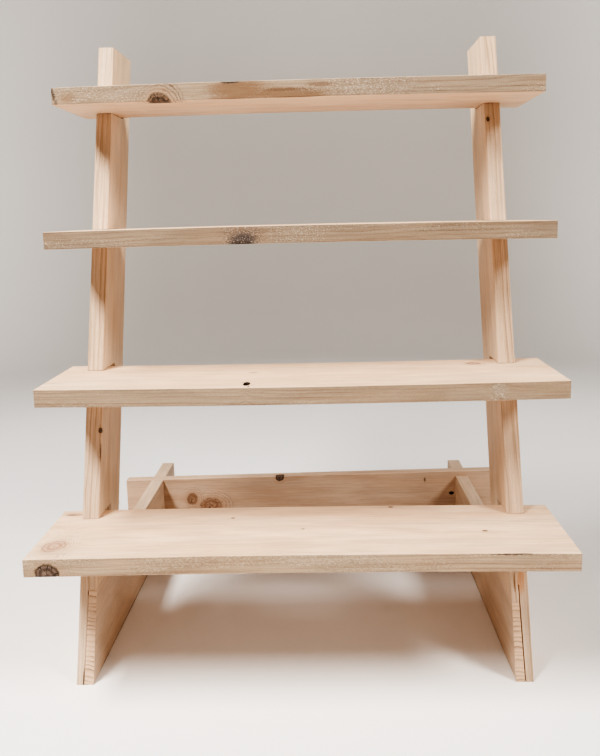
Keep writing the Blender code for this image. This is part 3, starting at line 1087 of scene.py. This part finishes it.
def paper(name):
    """White near the object, fading to warm grey further out, less so at the sides and higher up.
    This fall-off is painted shade, standing for the lamps reaching the paper less.

    Past the picture's sides and behind the camera it is a plain grey, which only
    sets how much light comes back from there.
    """
    g = Graph(name)
    position = g.node("ShaderNodeNewGeometry", {}).outputs["Position"]
    x, y, z = g.split(position)
    out = g.vector("LENGTH", g.join(x, y, g.times(z, 2.0)))
    # Painted shade: the paper greys with distance, standing for the light falling off.
    level = g.step(out, 1.0, 2.45)
    # Painted light: less grey towards the sides, nearer the side lamps, and higher up the wall.
    side = g.step(g.math("ABSOLUTE", x), 0.55, 1.3, 1.0, 0.25)
    high = g.step(z, 0.7, 1.4, 1.0, 0.65)
    beside = g.step(g.math("ABSOLUTE", x), 1.3, 1.7)
    behind_camera = g.step(y, -0.7, -1.3)
    side = g.math("MAXIMUM", side, g.math("MAXIMUM", beside, behind_camera))
    level = g.times(g.times(level, side), high)
    colour = g.mix(level, (0.90, 0.865, 0.85), (0.56, 0.515, 0.47))
    colour = g.mix(beside, colour, (0.64, 0.62, 0.60))
    colour = g.mix(behind_camera, colour, (0.34, 0.325, 0.315))
    mottle = g.noise(position, (1.3, 1.3, 1.3), 3.0)
    shade = g.mix(mottle, (0.95, 0.95, 0.955), (1.05, 1.05, 1.045))
    colour = g.shaded(colour, shade)
    tooth = g.noise(position, (900.0, 900.0, 900.0), 3.0)
    bump = g.node("ShaderNodeBump", {"Height": tooth, "Strength": 0.08, "Distance": 0.0005})
    return g.surface(colour, 0.75, bump, {"Specular IOR Level": 0.2})


def studio_sweep():
    """A round floor that curves up into a low wall all the way round."""
    flat = SWEEP_RADIUS - SWEEP_CURVE
    steps = range(1, SWEEP_STEPS + 1)
    profile = [(flat * n / SWEEP_STEPS, 0.0) for n in steps]
    for n in steps:
        turn = math.pi / 2 * n / SWEEP_STEPS
        profile.append((flat + SWEEP_CURVE * math.sin(turn), SWEEP_CURVE * (1 - math.cos(turn))))
    profile.append((SWEEP_RADIUS, SWEEP_HEIGHT))
    points, faces = [(0.0, 0.0, 0.0)], []
    for radius, height in profile:
        for n in range(SWEEP_SIDES):
            turn = 2 * math.pi * n / SWEEP_SIDES
            points.append((radius * math.cos(turn), radius * math.sin(turn), height))
    for n in range(SWEEP_SIDES):
        following = (n + 1) % SWEEP_SIDES
        faces.append((0, 1 + n, 1 + following))
        for ring in range(len(profile) - 1):
            base = 1 + ring * SWEEP_SIDES
            above = base + SWEEP_SIDES
            faces.append((base + n, above + n, above + following, base + following))
    mesh = bpy.data.meshes.new("studio_sweep")
    mesh.from_pydata(points, [], faces)
    mesh.polygons.foreach_set("use_smooth", [True] * len(faces))
    mesh.materials.append(paper("studio_paper"))
    add_object("studio_sweep", mesh)


LIGHT_AIM = (0.0, -0.1, 0.3)
LIGHT_COLOUR = (0.99, 0.985, 0.96)
FILL_COLOUR = (1.0, 0.97, 0.94)
FILL_STRENGTH = 0.02
LIGHTS = {
    "key_left": ((-0.93, -0.85, 1.73), (0.30, 1.3), 60.5),
    "key_right": ((1.78, -1.10, 1.86), (0.50, 0.9), 46.5),
}


def strip_light(name, position, size, power):
    """A softbox whose second side runs from front to back."""
    data = bpy.data.lights.new(name, "AREA")
    data.shape = "RECTANGLE"
    data.size, data.size_y = size
    data.energy = power
    data.color = LIGHT_COLOUR
    obj = add_object(name, data)
    aim = (Vector(LIGHT_AIM) - Vector(position)).normalized()
    side = Vector((0.0, 1.0, 0.0)).cross(aim).normalized()
    length = aim.cross(side)
    turn = Matrix((side, length, -aim)).transposed().to_4x4()
    obj.matrix_world = Matrix.Translation(position) @ turn
    obj.visible_camera = False


def lighting():
    for name, (position, size, power) in LIGHTS.items():
        strip_light(name, position, size, power)
    world = bpy.data.worlds.new("studio")
    world.use_nodes = True
    background = world.node_tree.nodes["Background"]
    background.inputs["Color"].default_value = as_colour(FILL_COLOUR)
    background.inputs["Strength"].default_value = FILL_STRENGTH
    bpy.context.scene.world = world
    view = bpy.context.scene.view_settings
    view.view_transform = "AgX"
    view.look = "AgX - Very High Contrast"
    view.exposure = 0.0
    view.gamma = 0.8


# --- Camera -------------------------------------------------------------------
FOCAL_PIXELS = 869.8  # for an image 600 wide and 756 high
IMAGE_HEIGHT = 756
SENSOR = 36.0
CAMERA_AT = (0.02999, -1.05686, 0.4724)
CAMERA_PITCH = math.radians(10.48)
CAMERA_YAW = math.radians(-1.81)
CAMERA_ROLL = math.radians(-1.36)


def camera():
    data = bpy.data.cameras.new("camera")
    data.sensor_fit = "AUTO"
    data.sensor_width = SENSOR
    data.lens = FOCAL_PIXELS * SENSOR / IMAGE_HEIGHT
    data.clip_start = 0.02
    data.clip_end = 50.0
    ahead = Vector((math.sin(CAMERA_YAW), math.cos(CAMERA_YAW), 0.0))
    level = Vector((math.cos(CAMERA_YAW), -math.sin(CAMERA_YAW), 0.0))
    forward = ahead * math.cos(CAMERA_PITCH) - Vector((0.0, 0.0, math.sin(CAMERA_PITCH)))
    upward = level.cross(forward)
    right = level * math.cos(CAMERA_ROLL) + upward * math.sin(CAMERA_ROLL)
    up = upward * math.cos(CAMERA_ROLL) - level * math.sin(CAMERA_ROLL)
    turn = Matrix((right, up, -forward)).transposed().to_4x4()
    obj = add_object("camera", data)
    obj.matrix_world = Matrix.Translation(CAMERA_AT) @ turn
    bpy.context.scene.camera = obj


# --- The scene ----------------------------------------------------------------
for shelf_name, shelf_body in SHELF_BODIES.items():
    shelf_piece(shelf_name, shelf_body)
for side_name in SIDES:
    upright_piece(side_name)
    base_rail_piece(side_name)
cross_rail_piece()
shelf_splinter()
upright_splinter()
paint_brads()
studio_sweep()
lighting()
camera()
